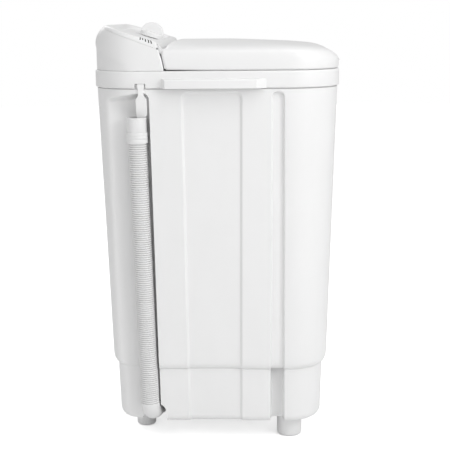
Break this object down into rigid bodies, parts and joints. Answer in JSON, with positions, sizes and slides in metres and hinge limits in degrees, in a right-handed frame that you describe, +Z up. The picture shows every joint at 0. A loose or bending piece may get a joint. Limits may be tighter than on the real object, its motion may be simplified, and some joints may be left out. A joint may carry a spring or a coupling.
{
  "type": "washing machine",
  "caption": "Upright single-tub plastic washer with a hinged lid, rear timer console, bottom agitator, belt drive and a ribbed drain hose clipped in a side pocket.",
  "frame": {"origin": "on the floor, under the middle of the machine's outer box, without the drain hose", "axes": "+Z up, -Y out of the front, where the lid's lip is, +Y to the rear, where the console is, +X to the right seen from the front"},
  "size_m": [0.52, 0.518, 0.9024],
  "materials": {
    "white_shell": "satin moulded polypropylene",
    "white_trim": "smooth moulded plastic",
    "hose_plastic": "soft satin",
    "grey_plastic": "fine moulded texture",
    "black_plastic": "moulded",
    "black_rubber": "matt",
    "steel": "zinc plated",
    "cast_alloy": "as cast",
    "bronze": "sintered"
  },
  "bodies": {
    "root": {"base_skirt": "white_shell", "front_feet": "white_shell", "rear_feet": "white_shell", "tub": "white_shell", "rim_frame": "white_shell", "console_housing": "white_shell", "fascia_panel": "white_trim", "timer_body": "grey_plastic", "hinge_pins": "steel", "bearing_housing": "grey_plastic", "shaft_bearings": "bronze", "shaft_seal": "black_rubber", "drive_belt": "black_rubber", "motor_stator": "steel", "motor_shields": "cast_alloy", "motor_bracket": "steel", "rubber_mounts": "black_rubber", "capacitor": "grey_plastic", "capacitor_clip": "steel", "drain_outlet": "grey_plastic", "drain_strainer": "grey_plastic", "hose_elbow": "hose_plastic", "hose_clamp": "steel", "drain_hose": "hose_plastic", "hose_collar": "hose_plastic", "hose_cuff": "hose_plastic", "hose_hook": "white_trim", "cord_gland": "black_rubber", "terminal_block": "white_trim", "housing_screws": "steel", "base_screws": "steel", "console_screws": "steel"},
    "lid_panel": {"lid": "white_shell"},
    "timer": {"timer_knob": "white_trim", "timer_shaft": "steel"},
    "agitator_set": {"agitator": "white_trim", "agitator_cap": "white_trim", "drive_shaft": "steel", "large_pulley": "cast_alloy", "pulley_nut": "steel"},
    "rotor": {"motor_shaft": "steel", "motor_pulley": "cast_alloy", "motor_fan": "black_plastic"}
  },
  "joints": [
    {"name": "lid_hinge", "type": "hinge", "parent": "root", "child": "lid_panel", "pos_m": [0, 0.119, 0.851], "axis": [-1, 0, 0], "range_deg": [0, 92]},
    {"name": "timer_turn", "type": "hinge", "parent": "root", "child": "timer", "pos_m": [0.065, 0.16117, 0.87625], "axis": [0, -0.2917, 0.9565], "range_deg": [-300, 0]},
    {"name": "agitator_spin", "type": "hinge", "parent": "root", "child": "agitator_set", "pos_m": [0, 0.004, 0.086], "axis": [0, 0, 1], "continuous": true},
    {"name": "motor_spin", "type": "hinge", "parent": "root", "child": "rotor", "pos_m": [0.095, 0.122, 0.086], "axis": [0, 0, 1], "continuous": true}
  ],
  "couplings": [
    {"joint": "motor_spin", "follows": "agitator_spin", "ratio": 3.7273}
  ]
}
